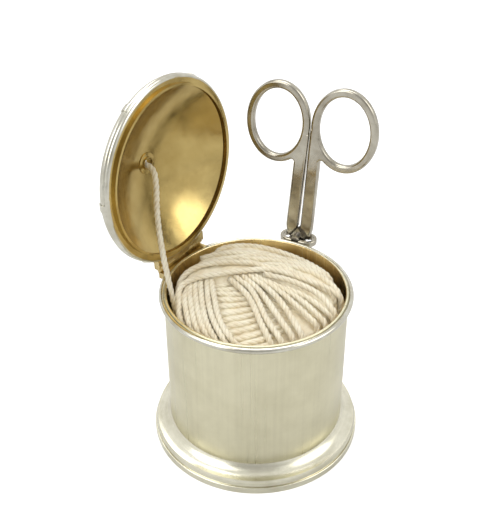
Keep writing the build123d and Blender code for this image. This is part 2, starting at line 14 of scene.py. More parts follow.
import bpy
import numpy as np
from mathutils import Matrix, Vector


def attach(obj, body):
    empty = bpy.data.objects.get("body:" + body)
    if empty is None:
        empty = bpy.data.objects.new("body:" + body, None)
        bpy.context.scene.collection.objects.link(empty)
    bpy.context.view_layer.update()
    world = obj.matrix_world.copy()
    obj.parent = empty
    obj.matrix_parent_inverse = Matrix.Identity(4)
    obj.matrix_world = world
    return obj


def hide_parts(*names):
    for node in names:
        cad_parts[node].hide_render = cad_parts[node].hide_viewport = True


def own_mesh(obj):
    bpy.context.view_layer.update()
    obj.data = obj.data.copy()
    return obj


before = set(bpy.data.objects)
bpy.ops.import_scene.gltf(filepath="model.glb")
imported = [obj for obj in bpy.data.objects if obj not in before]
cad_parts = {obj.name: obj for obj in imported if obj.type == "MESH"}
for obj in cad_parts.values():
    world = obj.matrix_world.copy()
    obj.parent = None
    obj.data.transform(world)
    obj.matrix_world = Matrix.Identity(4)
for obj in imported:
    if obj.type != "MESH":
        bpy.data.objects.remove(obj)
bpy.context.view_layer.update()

MM = 0.001
WHITE = (1.0, 1.0, 1.0)
UNSTRETCHED = (1.0, 1.0, 1.0)
UV_A_METRE = 10

log = logging.getLogger("string_box")

Colour = tuple[float, float, float]
Place = tuple[float, float, float]
Stop = tuple[float, float]
Route = list[Place]
PlanLine = list[tuple[float, float]]
Node = bpy.types.Node
Socket = bpy.types.NodeSocket
Tree = bpy.types.NodeTree
Material = bpy.types.Material


class Body(Enum):
    """The bodies that new pieces ride on."""

    BOX = "box"
    LID = "lid"


class Mark(Enum):
    """How a metal surface was worked, which sets the direction of its fine marks."""

    UPRIGHT = "upright"
    EVEN = "even"
    ROUND = "round"


def deselect_all() -> None:
    """Deselect every object, so that an operator acts on the new piece alone."""
    for item in bpy.context.selected_objects:
        item.select_set(False)
    bpy.context.view_layer.objects.active = None


def millimetres(points: list[tuple[float, ...]]) -> Route:
    """Turn points in millimetres into points in metres."""
    return [tuple(part * MM for part in point) for point in points]


def smooth_step(low: float, high: float, value: float) -> float:
    """Return 0 below low, 1 above high, and a smooth rise between them."""
    share = min(max((value - low) / (high - low), 0.0), 1.0)
    return share * share * (3 - 2 * share)


def add_node(tree: Tree, kind: str, **settings: str) -> Node:
    """Add a shader node of a kind, with its settings."""
    node = tree.nodes.new("ShaderNode" + kind)
    for name, value in settings.items():
        setattr(node, name, value)
    return node


class NodeBench:
    """A material under construction, with short calls for its nodes and links."""

    def __init__(self, name: str) -> None:
        """Start a material with an empty node tree and an output.

        Args:
            name: the material's name.
        """
        self.material = bpy.data.materials.new(name)
        self.material.use_nodes = True
        self.tree = self.material.node_tree
        self.tree.nodes.clear()
        self.output = add_node(self.tree, "OutputMaterial")
        self.shader = add_node(self.tree, "BsdfPrincipled")
        self.join(self.shader, "BSDF", self.output, "Surface")

    def join(self, start: Node, out: str | int, end: Node, into: str | int) -> None:
        """Link one node's output to another node's input."""
        self.tree.links.new(start.outputs[out], end.inputs[into])

    def place(self, output: str, scale: Place) -> Node:
        """Give texture coordinates, stretched by a mapping.

        Args:
            output: the coordinates to read, Object or UV.
            scale: how many pattern units lie in one metre, along each axis.

        Returns:
            The mapping node.
        """
        source = add_node(self.tree, "TexCoord")
        mapping = add_node(self.tree, "Mapping")
        mapping.inputs["Scale"].default_value = scale
        self.join(source, output, mapping, "Vector")
        return mapping

    def noise(self, place: Node, scale: float, detail: float, rough: float) -> Node:
        """Add a noise texture that reads the given place."""
        node = add_node(self.tree, "TexNoise")
        node.inputs["Scale"].default_value = scale
        node.inputs["Detail"].default_value = detail
        node.inputs["Roughness"].default_value = rough
        self.join(place, "Vector", node, "Vector")
        return node

    def ramp(self, start: Node, out: str, stops: list[tuple[float, Colour]]) -> Node:
        """Add a colour ramp with the given stops."""
        node = add_node(self.tree, "ValToRGB")
        while len(node.color_ramp.elements) < len(stops):
            node.color_ramp.elements.new(0.5)
        for element, (position, colour) in zip(node.color_ramp.elements, stops):
            element.position = position
            element.color = (*colour, 1.0)
        self.join(start, out, node, "Fac")
        return node

    def span(self, start: Node, out: str, reach: tuple[float, float], result: tuple[float, float]) -> Node:
        """Map one range of values onto another."""
        node = add_node(self.tree, "MapRange")
        node.inputs["From Min"].default_value = reach[0]
        node.inputs["From Max"].default_value = reach[1]
        node.inputs["To Min"].default_value = result[0]
        node.inputs["To Max"].default_value = result[1]
        self.join(start, out, node, "Value")
        return node

    def mix(self, kind: str, share: float, first: Socket, second: Socket) -> Socket:
        """Blend two colours with a mix node of the given kind."""
        node = add_node(self.tree, "Mix", data_type="RGBA", blend_type=kind)
        node.inputs["Factor"].default_value = share
        colours = [socket for socket in node.inputs if socket.type == "RGBA"]
        self.tree.links.new(first, colours[0])
        self.tree.links.new(second, colours[1])
        return next(socket for socket in node.outputs if socket.type == "RGBA")

    def math(self, operation: str, first: Socket, second: float = 0.0) -> Socket:
        """Do one sum on a value."""
        node = add_node(self.tree, "Math", operation=operation)
        node.inputs[1].default_value = second
        self.tree.links.new(first, node.inputs[0])
        return node.outputs[0]

    def bump(self, start: Node, out: str, strength: float, depth: float,
             below: Node | None = None) -> Node:
        """Add a bump of the given depth in metres, on top of another one if there is one."""
        node = add_node(self.tree, "Bump")
        node.inputs["Strength"].default_value = strength
        node.inputs["Distance"].default_value = depth
        self.join(start, out, node, "Height")
        if below is not None:
            self.join(below, "Normal", node, "Normal")
        return node


@dataclass(frozen=True)
class MetalFinish:
    """A metal surface: its tones, how it was worked, and how it has worn.

    Attributes:
        name: the material's name.
        tone: the clean metal.
        worn: the tone where it has dulled.
        gloss: the lowest and highest roughness.
        marks: the direction of its fine marks.
        mark_depth: how deep those marks are, in metres.
        patch: how many dulled patches lie in one metre.
        dent_depth: how deep its slow dents are, in metres.
        pits: whether small spots show.
        streaks: how far the fine marks darken the tone.
        worn_to: the pattern's value up to which the metal has dulled.
        clean_from: the value from which it is clean.
        streak_tone: the darkest tone of a fine mark.
        pit_tone: the darkest tone of a spot.
    """

    name: str
    tone: Colour
    worn: Colour
    gloss: tuple[float, float]
    marks: Mark = Mark.EVEN
    mark_depth: float = 4e-6
    patch: float = 60.0
    dent_depth: float = 0.0
    pits: bool = False
    streaks: float = 0.5
    worn_to: float = 0.32
    clean_from: float = 0.62
    streak_tone: Colour = (0.86, 0.85, 0.83)
    pit_tone: Colour = (0.45, 0.38, 0.27)

    def mark_scale(self) -> Place:
        """Return how the fine marks are stretched along each axis."""
        if self.marks is Mark.UPRIGHT:
            return (420.0, 420.0, 9.0)
        if self.marks is Mark.ROUND:
            return (30.0, 30.0, 900.0)
        return (170.0, 170.0, 170.0)

    def material(self) -> Material:
        """Build the material."""
        bench = NodeBench(self.name)
        body = bench.place("Object", UNSTRETCHED)
        patches = bench.noise(body, scale=self.patch, detail=4.0, rough=0.6)
        tones = bench.ramp(patches, "Fac", [(self.worn_to, self.worn), (self.clean_from, self.tone)])
        stretched = bench.place("Object", self.mark_scale())
        strokes = bench.noise(stretched, scale=1.0, detail=3.0, rough=0.65)
        streaks = bench.ramp(strokes, "Fac", [(0.30, self.streak_tone), (0.60, WHITE)])
        colour = bench.mix("MULTIPLY", self.streaks, tones.outputs["Color"], streaks.outputs["Color"])
        gloss = bench.span(strokes, "Fac", reach=(0.3, 0.7), result=self.gloss)
        dents = bench.noise(body, scale=85.0, detail=1.0, rough=0.4)
        dented = 1.0 if self.dent_depth else 0.0
        shape = bench.bump(dents, "Fac", strength=dented, depth=max(self.dent_depth, 1e-6))
        shape = bench.bump(strokes, "Fac", strength=0.6, depth=self.mark_depth, below=shape)
        if self.pits:
            cells = add_node(bench.tree, "TexVoronoi")
            cells.inputs["Scale"].default_value = 420.0
            bench.join(body, "Vector", cells, "Vector")
            spots = bench.ramp(cells, "Distance", [(0.06, self.pit_tone), (0.13, WHITE)])
            colour = bench.mix("MULTIPLY", 0.5, colour, spots.outputs["Color"])
        bench.tree.links.new(colour, bench.shader.inputs["Base Color"])
        bench.join(gloss, "Result", bench.shader, "Roughness")
        bench.join(shape, "Normal", bench.shader, "Normal")
        bench.shader.inputs["Metallic"].default_value = 1.0
        return bench.material


@dataclass(frozen=True)
class StringFinish:
    """Soft cotton string: its tones, its fibres, its sheen and the painted shade in the creases between
    its plies.

    Attributes:
        name: the material's name.
        tone: the clean cotton.
        shade: the tone of its duller stretches.
        fibre_depth: how deep the fibre marks are, in metres.
        plies: how many plies the string has.
        painted_crease_shade: the painted shade in the creases between the plies.
        fibre_tone: how dark the gaps between the fibres are.
        marking: how far the fibres and the painted crease shade darken the tone.
    """

    name: str
    tone: Colour
    shade: Colour
    fibre_depth: float
    plies: int = 3
    painted_crease_shade: Colour = (0.50, 0.40, 0.27)
    fibre_tone: Colour = (0.80, 0.74, 0.62)
    marking: float = 0.45

    def creases(self, bench: NodeBench) -> Socket:
        """Return the painted shade of the creases between the plies, which lie evenly round the string."""
        source = add_node(bench.tree, "TexCoord")
        parts = add_node(bench.tree, "SeparateXYZ")
        bench.join(source, "UV", parts, "Vector")
        angle = bench.math("MULTIPLY", parts.outputs["X"], self.plies * math.pi)
        crest = bench.math("ABSOLUTE", bench.math("COSINE", angle))
        # painted shade: the colour darkens where the creases between the plies lie
        shade = bench.ramp(crest.node, "Value", [(0.0, self.painted_crease_shade), (0.5, WHITE)])
        return shade.outputs["Color"]

    def material(self) -> Material:
        """Build the material. The fibre marks follow the string by its UV map."""
        bench = NodeBench(self.name)
        along = bench.place("UV", (26.0, 420.0, 1.0))
        fibres = bench.noise(along, scale=1.0, detail=4.0, rough=0.7)
        body = bench.place("Object", UNSTRETCHED)
        patches = bench.noise(body, scale=130.0, detail=4.0, rough=0.65)
        tones = bench.ramp(patches, "Fac", [(0.36, self.shade), (0.58, self.tone)])
        strands = bench.ramp(fibres, "Fac", [(0.30, self.fibre_tone), (0.55, WHITE)])
        colour = bench.mix("MULTIPLY", self.marking, tones.outputs["Color"], strands.outputs["Color"])
        # the creases between the plies get painted shade
        colour = bench.mix("MULTIPLY", self.marking, colour, self.creases(bench))
        lint = bench.noise(body, scale=2600.0, detail=3.0, rough=0.7)
        shape = bench.bump(lint, "Fac", strength=0.5, depth=self.fibre_depth)
        shape = bench.bump(fibres, "Fac", strength=0.8, depth=self.fibre_depth, below=shape)
        bench.tree.links.new(colour, bench.shader.inputs["Base Color"])
        bench.join(shape, "Normal", bench.shader, "Normal")
        bench.shader.inputs["Roughness"].default_value = 0.92
        bench.shader.inputs["Specular IOR Level"].default_value = 0.18
        bench.shader.inputs["Sheen Weight"].default_value = 0.35
        bench.shader.inputs["Sheen Roughness"].default_value = 0.6
        bench.shader.inputs["Subsurface Weight"].default_value = 0.0
        return bench.material


SATIN_SILVER = MetalFinish(
    "satin_silver", (0.70, 0.665, 0.49), (0.61, 0.575, 0.41), (0.26, 0.40), Mark.UPRIGHT, 5e-6, 42.0)
FOOT_SILVER = MetalFinish(
    "spun_silver", (0.77, 0.745, 0.61), (0.61, 0.58, 0.45), (0.16, 0.29), Mark.ROUND, 3e-6, 50.0)
BRIGHT_SILVER = MetalFinish(
    "bright_silver", (0.67, 0.655, 0.57), (0.48, 0.45, 0.36), (0.10, 0.20), Mark.EVEN, 3e-6, 90.0)
POLISHED_SILVER = MetalFinish(
    "polished_silver", (0.52, 0.49, 0.41), (0.30, 0.27, 0.21), (0.10, 0.20), Mark.EVEN, 3e-6, 70.0)
OLD_GILDING = MetalFinish(
    "old_gilding", (0.56, 0.425, 0.165), (0.41, 0.295, 0.10), (0.15, 0.26), Mark.EVEN, 4e-6, 38.0,
    dent_depth=2e-4, pits=True)
WALL_GILDING = MetalFinish(
    "streaked_gilding", (0.95, 0.80, 0.46), (0.58, 0.43, 0.20), (0.14, 0.32), Mark.UPRIGHT, 1e-5, 48.0,
    streaks=0.9)
HINGE_BRASS = MetalFinish(
    "hinge_brass", (0.66, 0.53, 0.27), (0.36, 0.26, 0.11), (0.14, 0.30), Mark.EVEN, 8e-6, 110.0)
GROUND_STEEL = MetalFinish(
    "ground_steel", (0.42, 0.40, 0.36), (0.16, 0.14, 0.12), (0.16, 0.32), Mark.EVEN, 6e-6, 160.0)
COTTON = StringFinish("cotton_string", (0.96, 0.90, 0.72), (0.87, 0.775, 0.57), 1.6e-4)


@dataclass
class MetalWork:
    """The metal pieces, which keep their own shapes and get their finishes here.

    Attributes:
        lid_axis_point: a point on the open lid's axis, at its seat.
        lid_outward: the open lid's axis, from its inside to its outside.
        crown_radius: the radius of the crown's inner side.
        crown_rise: how far the crown's top lies from the seat.
    """

    lid_axis_point: Vector = field(default_factory=lambda: Vector((0.0, 45.23, 126.27)) * MM)
    lid_outward: Vector = field(default_factory=lambda: Vector((0.0, 0.99844, -0.05582)))
    crown_radius: float = 58.1 * MM
    crown_rise: float = 16.2 * MM

    def paint(self, node: str, finish: Material) -> bpy.types.Object:
        """Give a whole piece one finish.

        Args:
            node: the piece's name.
            finish: its material.

        Returns:
            The piece's object.
        """
        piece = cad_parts[node]
        piece.data.materials.clear()
        piece.data.materials.append(finish)
        for polygon in piece.data.polygons:
            polygon.material_index = 0
        return piece

    def paint_inside(self, node: str, outer: Material, inner: Material,
                     is_inside: Callable[[Vector, Vector], bool]) -> None:
        """Give the inner side of a piece another finish.

        Args:
            node: the piece's name.
            outer: the outer side's material.
            inner: the inner side's material.
            is_inside: says of a face's centre and normal whether the face is on the inner side.
        """
        piece = self.paint(node, outer)
        piece.data.materials.append(inner)
        for polygon in piece.data.polygons:
            if is_inside(polygon.center, polygon.normal):
                polygon.material_index = 1

    def in_drum(self, centre: Vector, normal: Vector) -> bool:
        """Say whether a face of the drum looks inwards."""
        return centre.x * normal.x + centre.y * normal.y < 0

    def in_crown(self, centre: Vector, normal: Vector) -> bool:
        """Say whether a face of the lid's crown looks inwards."""
        middle = self.lid_axis_point + self.lid_outward * (self.crown_rise - self.crown_radius)
        away = centre - self.lid_axis_point
        aside = away - self.lid_outward * away.dot(self.lid_outward)
        if aside.length > 0 and abs(normal.dot(self.lid_outward)) < 0.3:
            return normal.dot(aside) < 0
        return normal.dot(centre - middle) < 0

    def on_seat(self, centre: Vector, normal: Vector) -> bool:
        """Say whether a face of the lid's flange looks to the box's inside, or to the crown's hollow."""
        away = centre - self.lid_axis_point
        aside = away - self.lid_outward * away.dot(self.lid_outward)
        return normal.dot(self.lid_outward) < -0.98 or normal.dot(aside) < -0.3 * aside.length

    def dress(self) -> None:
        """Give every metal piece its finish."""
        satin = SATIN_SILVER.material()
        spun = FOOT_SILVER.material()
        bright = BRIGHT_SILVER.material()
        polished = POLISHED_SILVER.material()
        gilding = OLD_GILDING.material()
        streaked = WALL_GILDING.material()
        steel = GROUND_STEEL.material()
        brass = HINGE_BRASS.material()
        self.paint_inside("drum_wall", satin, streaked, self.in_drum)
        self.paint_inside("lid_crown", satin, gilding, self.in_crown)
        self.paint_inside("lid_flange", bright, gilding, self.on_seat)
        plain = {
            "foot_ring": spun, "rim_bead": bright, "drum_floor": streaked, "lid_bezel": gilding,
            "lid_border": bright, "border_ties": bright, "string_guide": gilding,
            "drum_bearer": brass, "lid_bearer": brass, "drum_knuckles": brass,
            "lid_knuckle": brass, "hinge_pin": brass,
            "scissor_loop": polished, "scissor_bracket": bright,
            "handle_front": polished, "handle_back": polished,
            "blade_front": steel, "blade_back": steel, "pivot_screw": steel,
        }
        for node, finish in plain.items():
            self.paint(node, finish)
        log.info("dressed the metal pieces")


@dataclass
class TwistedString:
    """Three-ply string, as a mesh that follows a smooth line.

    Attributes:
        diameter: the string's diameter.
        plies: how many plies are laid together.
        faces_a_ply: how many faces go round each ply.
        crease: how deep the creases between the plies are, as a share of the radius.
        lay: the length in which a ply turns once round the string.
        steps: how many points the smooth line has for each control point.
        fullness: how round each ply's bulge is; a lower power is rounder.
        cap: how far an end bulges, as a share of the diameter.
    """

    diameter: float = 2.9 * MM
    plies: int = 3
    faces_a_ply: int = 5
    crease: float = 0.30
    lay: float = 9.0 * MM
    steps: int = 12
    fullness: float = 0.7
    cap: float = 0.12

    def line(self, route: Route) -> list[Vector]:
        """Read a smooth line's points from a NURBS spline whose control points are the route.

        Args:
            route: the control points, in metres.

        Returns:
            The points of the smooth line.
        """
        curve = bpy.data.curves.new("route", "CURVE")
        curve.dimensions = "3D"
        curve.resolution_u = self.steps
        spline = curve.splines.new("NURBS")
        spline.points.add(len(route) - 1)
        for point, place in zip(spline.points, route):
            point.co = (*place, 1.0)
        spline.order_u = 3
        spline.use_endpoint_u = True
        holder = bpy.data.objects.new("route", curve)
        mesh = bpy.data.meshes.new_from_object(holder)
        points = [vertex.co.copy() for vertex in mesh.vertices]
        bpy.data.objects.remove(holder)
        bpy.data.meshes.remove(mesh)
        bpy.data.curves.remove(curve)
        return points

    def section(self) -> tuple[np.ndarray, np.ndarray]:
        """Return the angles and radii of the points round one section."""
        count = self.plies * self.faces_a_ply
        angles = np.arange(count) * 2 * math.pi / count
        bulge = np.abs(np.cos(angles * self.plies / 2)) ** self.fullness
        radii = self.diameter / 2 * (1 - self.crease + self.crease * bulge)
        return angles, radii

    def model(self, name: str, points: list[Vector],
              swell: list[float] | None = None) -> bpy.types.Object:
        """Lay the string along a line.

        Args:
            name: the piece's name.
            points: the line that it follows.
            swell: how thick it is at each point, as a share of its diameter.

        Returns:
            The string, closed at both ends.
        """
        angles, radii = self.section()
        count = len(angles)
        line = np.array([tuple(point) for point in points])
        ahead = np.gradient(line, axis=0)
        ahead /= np.linalg.norm(ahead, axis=1)[:, None]
        lengths = np.concatenate([[0.0], np.cumsum(np.linalg.norm(np.diff(line, axis=0), axis=1))])
        side = np.cross(ahead[0], (0.0, 0.0, 1.0))
        if np.linalg.norm(side) < 0.1:
            side = np.cross(ahead[0], (1.0, 0.0, 0.0))
        vertices = np.empty((len(line) * count + 2, 3))
        for index, (place, forward) in enumerate(zip(line, ahead)):
            side = side - forward * side.dot(forward)
            side /= np.linalg.norm(side)
            up = np.cross(forward, side)
            turn = angles + 2 * math.pi * lengths[index] / self.lay
            size = 1.0 if swell is None else swell[index]
            ring = (np.outer(np.cos(turn), side) + np.outer(np.sin(turn), up)) * radii[:, None] * size
            vertices[index * count:(index + 1) * count] = place + ring
        vertices[-2] = line[0] - ahead[0] * self.diameter * self.cap
        vertices[-1] = line[-1] + ahead[-1] * self.diameter * self.cap
        faces = []
        for index in range(len(line) - 1):
            low, high = index * count, (index + 1) * count
            for step in range(count):
                following = (step + 1) % count
                faces.append((low + step, low + following, high + following, high + step))
        last = (len(line) - 1) * count
        for step in range(count):
            following = (step + 1) % count
            faces.append((len(vertices) - 2, following, step))
            faces.append((len(vertices) - 1, last + step, last + following))
        mesh = bpy.data.meshes.new(name)
        mesh.from_pydata(vertices.tolist(), [], faces)
        self.unwrap(mesh, lengths, count)
        mesh.shade_smooth()
        piece = bpy.data.objects.new(name, mesh)
        bpy.context.scene.collection.objects.link(piece)
        return piece

    def unwrap(self, mesh: bpy.types.Mesh, lengths: np.ndarray, count: int) -> None:
        """Map the string: once round it is 1 across, and a tenth of a metre is 1 along.

        Args:
            mesh: the string's mesh.
            lengths: how far along the string each ring lies.
            count: how many points a ring has.
        """
        layer = mesh.uv_layers.new(name="along")
        for polygon in mesh.polygons:
            steps = [mesh.loops[loop].vertex_index for loop in polygon.loop_indices]
            across = [(vertex % count) / count for vertex in steps]
            wraps = max(across) - min(across) > 0.5
            for loop, vertex, share in zip(polygon.loop_indices, steps, across):
                ring = min(vertex // count, len(lengths) - 1)
                round_it = share + (1.0 if wraps and share < 0.5 else 0.0)
                layer.data[loop].uv = (round_it, lengths[ring] * UV_A_METRE)


@dataclass
class FreeString:
    """The string between the ball and the lid, and its free end behind the lid.

    Attributes:
        twist: the string itself.
        run_length: the length between the guide and the ball; it is not used.
        tail_length: the length of the free end; it is not used.
        anchor: where the run meets the ball, which stays put when the lid shuts; it is not used.
        shut_share: the share of its length that the run keeps when the lid is shut; it is not used.
        fray: how much thicker the free end gets at its tip.
        fray_from: the share of its length where that starts.
    """

    twist: TwistedString = field(default_factory=TwistedString)
    run_length: float = 72.3 * MM
    tail_length: float = 34.1 * MM
    anchor: Place = (-25.09 * MM, 27.07 * MM, 70.39 * MM)
    shut_share: float = 0.12
    fray: float = 0.14
    fray_from: float = 0.8

    def run_route(self) -> Route:
        """Return the route from the guide in the lid down to the ball."""
        return millimetres([
            (0, 62.15, 124.4), (0, 57.55, 124.7), (-4.7, 51.8, 119.7), (-11.9, 46.6, 108.6),
            (-17.5, 39.8, 94.6), (-22.2, 32.6, 82.2), (-25.09, 27.07, 70.39),
        ])

    def tail_route(self) -> Route:
        """Return the route from the guide to the free end, behind the lid."""
        return millimetres([
            (0, 62.15, 124.4), (0, 67.75, 124.1), (1.1, 68.95, 113.2), (0.1, 68.05, 103.5),
            (1.0, 68.85, 94.9),
        ])

    def make_run(self, cotton: Material) -> None:
        """Model the stretch that shows in place of the plain piece, and fix it to the box."""
        points = self.twist.line(self.run_route())
        run = self.twist.model("string_run_laid", points)
        run.data.materials.append(cotton)
        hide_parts("string_run")
        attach(run, Body.BOX.value)
        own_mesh(run)

    def make_tail(self, cotton: Material) -> None:
        """Model the free end, which frays a little at its tip, in place of the plain piece, and fix it to
        the lid.
        """
        points = self.twist.line(self.tail_route())
        shares = [index / (len(points) - 1) for index in range(len(points))]
        swell = [1.0 + self.fray * smooth_step(self.fray_from, 1.0, share) for share in shares]
        tail = self.twist.model("string_tail_laid", points, swell)
        tail.data.materials.append(cotton)
        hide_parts("string_tail")
        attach(tail, Body.LID.value)

    def make(self, cotton: Material) -> None:
        """Model both stretches."""
        self.make_run(cotton)
        self.make_tail(cotton)
        log.info("laid the free string")


@dataclass(frozen=True)
class Ridge:
    """A swelling of the ball's edge.

    Attributes:
        rise: how high it stands, in millimetres.
        turn: the way it lies in, in degrees from the x axis.
        spread: how wide it is, in radians.
    """

    rise: float
    turn: float
    spread: float

    def height(self, turn: float) -> float:
        """Return how high the swelling stands in a direction, which is in radians."""
        return self.rise * math.exp(-((turn - math.radians(self.turn)) / self.spread) ** 2)


@dataclass
class StringBall:
    """The ball of string that fills the drum: a felted mass with the wound turns over it.

    Its sizes are in millimetres. The top is a low crown that follows the photograph, the sides
    stand up along the drum's wall, and the turns go on round the sides and the underside.

    Attributes:
        radius: the greatest radius, to the outside of the string.
        centre_height: the height of its middle.
        lower_depth: from the middle to the underside.
        upper_depth: from the middle to the top of the sides' curve.
        shoulder_power: how boxy the upper half is.
        lower_power: how boxy the lower half is.
        top_sinking: how much deeper a turn lies where it passes under the others on top.
        crown_reach: the radius at which the crown ends.
        crown_foot: the height of the crown's edge.
        crown_rise: how far the crown rises over its edge.
        crown_power: how round the crown is.
        heap_rise: how high the heap on the crown is.
        heap_place: the point of the plan under the heap.
        heap_spread: how wide the heap is, as a squared length.
        sunk_depth: how deep the mass lies under the surface where turns cover it.
        matted_rise: how much less that is where the mass shows.
        wave_depth: how high the mass's slow waves are.
        turn_step: how far apart the points of a turn lie round the ball, in degrees.
        edges: the swellings of the crown's edge.
        hinge_edge: the swelling by the hinge, which keeps clear of the shut lid's bezel.
    """

    radius: float = 39.2
    centre_height: float = 46.2
    lower_depth: float = 35.6
    upper_depth: float = 36.2
    shoulder_power: float = 8.0
    lower_power: float = 3.2
    top_sinking: float = 2.4
    crown_reach: float = 40.0
    crown_foot: float = 73.5
    crown_rise: float = 9.0
    crown_power: float = 0.62
    heap_rise: float = 2.2
    heap_place: tuple[float, float] = (16.0, 19.0)
    heap_spread: float = 200.0
    sunk_depth: float = 4.6
    matted_rise: float = 3.6
    wave_depth: float = 0.35
    turn_step: float = 15.0
    edges: tuple[Ridge, ...] = (Ridge(3.0, 58.0, 0.75), Ridge(2.0, -52.0, 0.5))
    hinge_edge: Ridge = Ridge(2.0, 118.0, 0.42)
    twist: TwistedString = field(default_factory=TwistedString)
    chance: random.Random = field(default_factory=lambda: random.Random(11))

    def crown(self, x: float, y: float) -> float:
        """Return the height of the ball's top over a point of the plan."""
        reach = min(math.hypot(x, y) / self.crown_reach, 1.0)
        crown = self.crown_foot + self.crown_rise * (1 - reach * reach) ** self.crown_power
        heap_x, heap_y = self.heap_place
        heap = self.heap_rise * math.exp(-((x - heap_x) ** 2 + (y - heap_y) ** 2) / self.heap_spread)
        turn = math.atan2(y, x)
        under_bezel = smooth_step(0.84, 0.96, reach)
        ridge = sum(edge.height(turn) for edge in self.edges)
        ridge += (1 - under_bezel) * self.hinge_edge.height(turn)
        return crown + heap + ridge * smooth_step(0.55, 0.93, reach)

    def surface(self, direction: Vector, depth: float = 0.0) -> Vector:
        """Return the point of the ball's surface in a direction from its middle.

        Args:
            direction: the direction.
            depth: how far under the surface the point lies.

        Returns:
            The point.
        """
        way = direction.normalized()
        flat = math.hypot(way.x, way.y)
        tall = self.upper_depth if way.z > 0 else self.lower_depth
        power = self.shoulder_power if way.z > 0 else self.lower_power
        scale = ((flat / self.radius) ** power + (abs(way.z) / tall) ** power) ** (-1 / power)
        point = way * scale
        polar = math.degrees(math.atan2(flat, way.z))
        share = 1 - smooth_step(46, 60, polar)
        height = self.crown(point.x, point.y) - self.centre_height
        point.z += (height - point.z) * share
        point -= way * depth
        return point + Vector((0, 0, self.centre_height))

    def on_top(self, x: float, y: float, depth: float) -> Vector:
        """Return a point over the plan, under the crown by a depth."""
        return Vector((x, y, self.crown(x, y) - depth))

    def beneath(self, start: Vector, end: Vector, depth: float, spread: float) -> list[Vector]:
        """Carry a turn the long way round the ball, from one point of its top to another.

        Args:
            start: where the turn leaves the top.
            end: where it comes back.
            depth: how far under the surface it lies.
            spread: how uneven its depth is.

        Returns:
            The points between them.
        """
        middle = Vector((0, 0, self.centre_height))
        first = (start - middle).normalized()
        last = (end - middle).normalized()
        axis = last.cross(first).normalized()
        angle = 2 * math.pi - first.angle(last)
        count = max(int(math.degrees(angle) / self.turn_step), 4)
        lift = self.chance.uniform(0, spread)
        points = []
        for step in range(1, count):
            share = step / count
            way = Matrix.Rotation(angle * share, 3, axis) @ first
            ease = min(min(share, 1 - share) * count / 3, 1.0)
            under_top = smooth_step(0.35, 0.7, way.normalized().z) * self.top_sinking
            sunk = depth + (lift + under_top) * ease
            points.append(self.surface(way, sunk))
        return points

    def wind(self, name: str, tops: list[PlanLine], depth: float, under: float, spread: float,
             twist: TwistedString) -> bpy.types.Object:
        """Wind a string round the ball in one unbroken length.

        Args:
            name: the piece's name.
            tops: for each turn, the points of the plan that it passes over.
            depth: how far the string's middle lies under the crown on top.
            under: how far it lies under the surface round the sides and the underside.
            spread: how uneven that is.
            twist: the string.

        Returns:
            The winding.
        """
        route: list[Vector] = []
        previous: Vector | None = None
        for top in tops:
            points = [self.on_top(x, y, depth) for x, y in top]
            if previous is not None:
                route += self.beneath(previous, points[0], under, spread)
            route += points
            previous = points[-1]
        first = self.on_top(*tops[0][0], depth)
        closing = self.beneath(previous, first, under, spread)
        route += closing[:len(closing) * 2 // 3]
        line = twist.line([tuple(point * MM) for point in route])
        return twist.model(name, line)

    def between(self, guides: dict[int, PlanLine], uneven: float) -> list[PlanLine]:
        """Space turns evenly between guides, a little unevenly as hands wind them.

        Args:
            guides: the guides by the number of their turn.
            uneven: how far a point may stray.

        Returns:
            The turns' points.
        """
        marks = sorted(guides)
        turns = []
        for number in range(marks[0], marks[-1] + 1):
            low = max(mark for mark in marks if mark <= number)
            high = min(mark for mark in marks if mark >= number)
            share = 0.0 if high == low else (number - low) / (high - low)
            turn = []
            for (x0, y0), (x1, y1) in zip(guides[low], guides[high]):
                stray = self.chance.uniform(-uneven, uneven)
                turn.append((x0 + (x1 - x0) * share + stray, y0 + (y1 - y0) * share - stray))
            turns.append(turn)
        return turns

    def left_band(self) -> list[PlanLine]:
        """Return the seven turns side by side at the ball's left."""
        return self.between({
            0: [(-21.5, 27.5), (-25.6, 24.4), (-29.3, 21.3), (-33.5, 17.2)],
            3: [(-14.1, 23.9), (-22.0, 17.3), (-30.9, 9.0), (-36.3, 1.2)],
            6: [(-7.6, 19.3), (-18.2, 10.1), (-27.3, 0.6), (-33.5, -10.7)],
        }, 0.25)

    def cross_turns(self) -> list[PlanLine]:
        """Return the turns of the lower layer, which show between the left band and the fan."""
        return self.between({
            0: [(-8.2, 18.8), (-6.0, 15.8), (-2.6, 12.6)],
            2: [(-12.0, 15.5), (-9.6, 10.4), (-6.5, 3.5)],
            5: [(-22.6, 4.4), (-17.7, -1.0), (-12.0, -6.2)],
            9: [(-31.5, -8.6), (-26.5, -13.3), (-20.9, -17.6)],
            11: [(-29.7, -18.4), (-26.6, -21.5), (-23.1, -24.2)],
        }, 0.3)

    def fan(self) -> list[PlanLine]:
        """Return the turns that fan out over the front."""
        return [
            [(-2.3, 13.3), (-5.2, 4.0), (-10.6, -5.2), (-18.7, -14.9), (-24.4, -24.3)],
            [(-0.5, 10.2), (-2.2, 2.2), (-9.0, -7.5), (-16.5, -16.8), (-21.2, -28.7)],
            [(1.6, 7.2), (-1.3, -1.9), (-7.0, -11.9), (-12.6, -21.6), (-16.7, -31.7)],
            [(3.7, 4.8), (1.9, -4.3), (-2.2, -14.7), (-8.1, -24.2), (-13.2, -34.1)],
            [(5.5, 2.4), (3.8, -8.5), (0.5, -19.8), (-2.2, -29.0), (-3.5, -35.7)],
            [(5.7, -2.6), (5.7, -11.1), (4.5, -21.8), (1.9, -30.9), (0.5, -38.1)],
            [(7.1, -14.1), (8.2, -22.5), (6.8, -30.9), (6.5, -38.6)],
        ]

